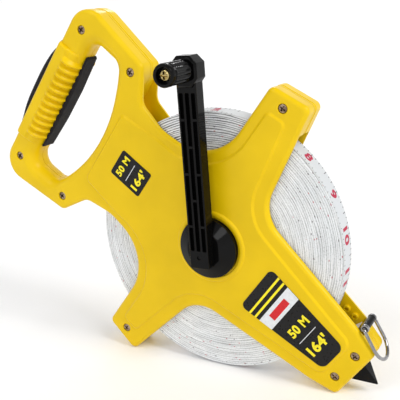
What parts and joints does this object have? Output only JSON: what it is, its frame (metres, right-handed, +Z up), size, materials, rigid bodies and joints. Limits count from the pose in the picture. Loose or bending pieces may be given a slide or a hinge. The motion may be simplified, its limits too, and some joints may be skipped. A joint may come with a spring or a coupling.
{
  "type": "surveyor tape reel",
  "caption": "Hand-held open-reel long tape: D-handled plastic frame, cranked spool of flat measuring tape, swinging end ring and ground spike.",
  "frame": {"origin": "centre of the bounding box's base, on the surface that the reel stands on", "axes": "+Z up, the spool's axis along Y with the crank on the -Y side, +X towards the nose and its spike"},
  "size_m": [0.268, 0.065, 0.228],
  "materials": {
    "yellow_abs": "moulded, satin gloss",
    "black_plastic": "moulded, gloss",
    "grip_rubber": "fine grain, matte",
    "label_print": "printed film",
    "bush_nylon": "natural nylon",
    "spool_grey": "moulded",
    "tape_fibreglass": "PVC-coated fibreglass tape, white, printed",
    "screw_steel": "zinc plated, darkened",
    "knob_brass": "plated screw head",
    "chrome_wire": "bright plated wire"
  },
  "bodies": {
    "frame": {"front_frame": "yellow_abs", "rear_frame": "yellow_abs", "grip_rubber_outer": "grip_rubber", "grip_rubber_inner": "grip_rubber", "label_nose": "label_print", "label_side": "label_print", "spike": "black_plastic", "front_bush": "bush_nylon", "rear_bush": "bush_nylon", "rear_cap": "black_plastic", "frame_screw_1": "screw_steel", "frame_screw_2": "screw_steel", "frame_screw_3": "screw_steel", "frame_screw_4": "screw_steel", "frame_screw_5": "screw_steel", "frame_screw_6": "screw_steel", "frame_screw_7": "screw_steel", "frame_screw_8": "screw_steel", "tape_lead": "tape_fibreglass", "tape_end_clip": "chrome_wire", "tape_end_sleeve": "black_plastic"},
    "reel": {"spool_core": "spool_grey", "spool_flange_front": "spool_grey", "spool_flange_rear": "spool_grey", "tape_anchor_pin": "screw_steel", "tape_pack": "tape_fibreglass", "crank_hub": "black_plastic", "crank_arm": "black_plastic", "axle_bolt": "screw_steel", "knob_screw": "knob_brass", "knob_nut": "screw_steel"},
    "knob": {"knob": "black_plastic"},
    "ring": {"end_ring": "chrome_wire"}
  },
  "joints": [
    {"name": "spool_spin", "type": "hinge", "parent": "frame", "child": "reel", "pos_m": [0.02666, 0.01815, 0.08396], "axis": [0, 1, 0], "continuous": true},
    {"name": "knob_spin", "type": "hinge", "parent": "reel", "child": "knob", "pos_m": [0.02437, 0.01815, 0.19294], "axis": [0, 1, 0], "continuous": true},
    {"name": "ring_swing", "type": "hinge", "parent": "frame", "child": "ring", "pos_m": [0.12226, 0.01815, 0.04489], "axis": [0, -1, 0], "range_deg": [0, 170]}
  ]
}
